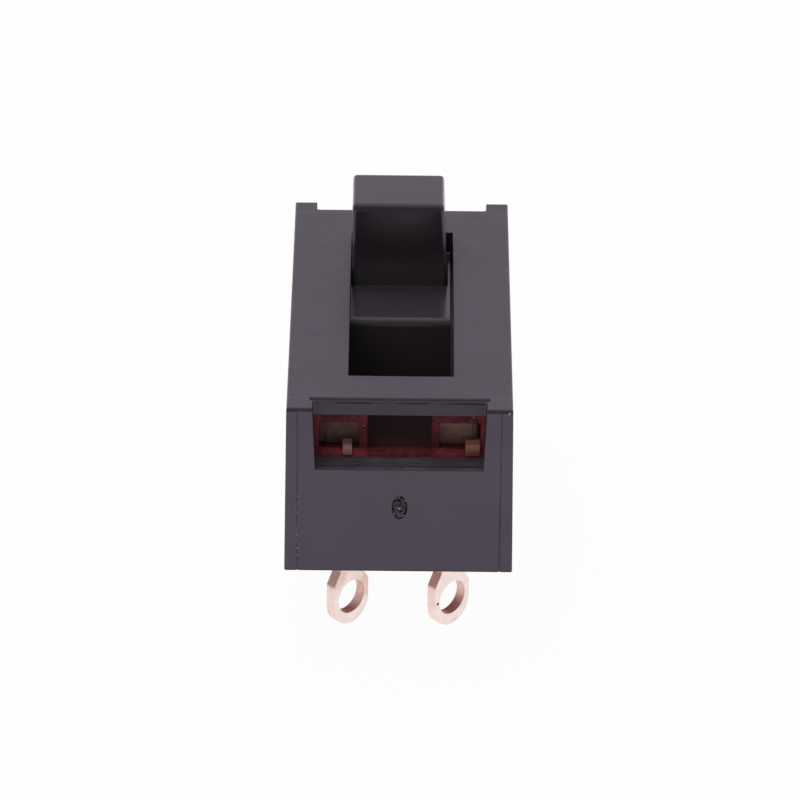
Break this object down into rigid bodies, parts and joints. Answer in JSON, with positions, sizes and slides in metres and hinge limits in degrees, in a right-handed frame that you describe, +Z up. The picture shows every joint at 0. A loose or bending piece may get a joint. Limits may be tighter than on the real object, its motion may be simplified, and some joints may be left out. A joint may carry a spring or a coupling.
{
  "type": "slide switch",
  "caption": "Panel slide switch in a black box housing with a stepped thumb knob in a long slot, a red contact block behind its end windows and twisted copper solder lugs below.",
  "frame": {"origin": "middle of the bounding box at the height of the lug tips", "axes": "+Y along the slide towards the rear end, +X across the width, +Z up out of the slot"},
  "size_m": [0.0134, 0.027, 0.0201],
  "materials": {
    "housing_black": "satin moulded",
    "slider_black": "satin moulded",
    "block_red": "satin moulded",
    "terminal_copper": "bright stamped copper",
    "bridge_brass": "stamped",
    "tip_silver": "silver alloy",
    "spring_steel": "drawn wire",
    "ball_steel": "polished"
  },
  "bodies": {
    "body": {"housing": "housing_black", "contact_block": "block_red", "terminal_front_left": "terminal_copper", "terminal_front_right": "terminal_copper", "terminal_middle_left": "terminal_copper", "terminal_middle_right": "terminal_copper", "terminal_rear_left": "terminal_copper", "terminal_rear_right": "terminal_copper"},
    "slider": {"slider": "slider_black", "contact_spring_front_left": "spring_steel", "contact_spring_front_right": "spring_steel", "contact_spring_rear_left": "spring_steel", "contact_spring_rear_right": "spring_steel", "detent_spring": "spring_steel"},
    "bridge_left": {"bridge_left": "bridge_brass", "tip_front_left": "tip_silver", "tip_rear_left": "tip_silver"},
    "bridge_right": {"bridge_right": "bridge_brass", "tip_front_right": "tip_silver", "tip_rear_right": "tip_silver"},
    "ball": {"detent_ball": "ball_steel"}
  },
  "joints": [
    {"name": "slider_slide", "type": "slide", "parent": "body", "child": "slider", "axis": [0, -1, 0], "range_m": [0, 0.009]},
    {"name": "bridge_left_float", "type": "slide", "parent": "slider", "child": "bridge_left", "axis": [1, 0, 0], "range_m": [0, 0.0002], "stiffness_N_per_m": 1000, "springref_m": -0.001, "deforming": ["contact_spring_front_left", "contact_spring_rear_left"]},
    {"name": "bridge_right_float", "type": "slide", "parent": "slider", "child": "bridge_right", "axis": [-1, 0, 0], "range_m": [0, 0.0002], "stiffness_N_per_m": 1000, "springref_m": -0.001, "deforming": ["contact_spring_front_right", "contact_spring_rear_right"]},
    {"name": "ball_lift", "type": "slide", "parent": "slider", "child": "ball", "axis": [0, 0, 1], "range_m": [-0.00015, 0.0003], "stiffness_N_per_m": 500, "springref_m": -0.001, "deforming": ["detent_spring"]}
  ]
}
